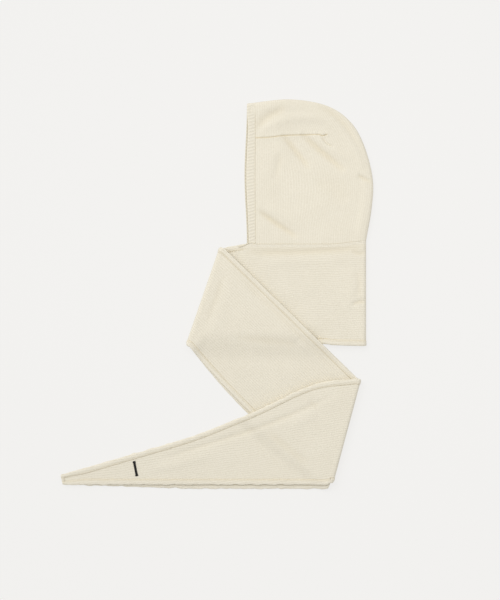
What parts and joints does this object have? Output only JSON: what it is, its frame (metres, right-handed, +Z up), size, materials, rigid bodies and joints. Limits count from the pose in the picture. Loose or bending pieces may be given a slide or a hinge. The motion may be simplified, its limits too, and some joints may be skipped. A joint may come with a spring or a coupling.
{
  "type": "balaclava",
  "caption": "Knitted hooded balaclava scarf laid flat: hood folded at the centre back, ribbed face binding, and two long tapered arms folded in a zigzag.",
  "frame": {"origin": "on the table, under the middle of the whole laid-out garment", "axes": "+X across to the back of the hood, +Y up the garment from scarf to crown, +Z up off the table"},
  "size_m": [0.6544, 0.8164, 0.0204],
  "materials": {
    "cream_knit": "matte",
    "ribbed_binding": "matte",
    "sewing_thread": "matte",
    "charcoal_tab": "matte"
  },
  "bodies": {
    "root": {"hood_panel": "cream_knit", "face_binding": "ribbed_binding", "face_binding_seam": "sewing_thread", "dart_seam_left": "sewing_thread", "dart_seam_right": "sewing_thread", "neck_seam": "sewing_thread", "neck_band": "cream_knit", "neck_upper_hem_stitch_left": "sewing_thread", "neck_lower_hem_stitch_left": "sewing_thread", "fold_1_bend_left": "cream_knit", "neck_upper_hem_stitch_right": "sewing_thread", "neck_lower_hem_stitch_right": "sewing_thread", "fold_1_bend_right": "cream_knit"},
    "scarf_middle": {"scarf_middle_left": "cream_knit", "middle_upper_hem_stitch_left": "sewing_thread", "middle_lower_hem_stitch_left": "sewing_thread", "fold_2_bend_left": "cream_knit", "scarf_middle_right": "cream_knit", "middle_upper_hem_stitch_right": "sewing_thread", "middle_lower_hem_stitch_right": "sewing_thread", "fold_2_bend_right": "cream_knit"},
    "scarf_ends": {"scarf_end_left": "cream_knit", "end_upper_hem_stitch_left": "sewing_thread", "end_lower_hem_stitch_left": "sewing_thread", "tip_tack_left": "sewing_thread", "scarf_end_right": "cream_knit", "end_upper_hem_stitch_right": "sewing_thread", "end_lower_hem_stitch_right": "sewing_thread", "tip_tack_right": "sewing_thread", "woven_tab": "charcoal_tab", "tab_tack_upper": "charcoal_tab", "tab_tack_lower": "charcoal_tab"}
  },
  "joints": [
    {"name": "fold_1", "type": "hinge", "parent": "root", "child": "scarf_middle", "pos_m": [0.01422, 0.09217, 0.00975], "axis": [-0.3272, -0.9449, 0], "range_deg": [0, 179], "deforming": ["fold_1_bend_left", "fold_1_bend_right"]},
    {"name": "fold_2", "type": "hinge", "parent": "scarf_middle", "child": "scarf_ends", "pos_m": [0.29339, -0.17989, 0.0086], "axis": [0.2588, 0.9659, 0], "range_deg": [0, 179], "deforming": ["fold_2_bend_left", "fold_2_bend_right"]}
  ]
}
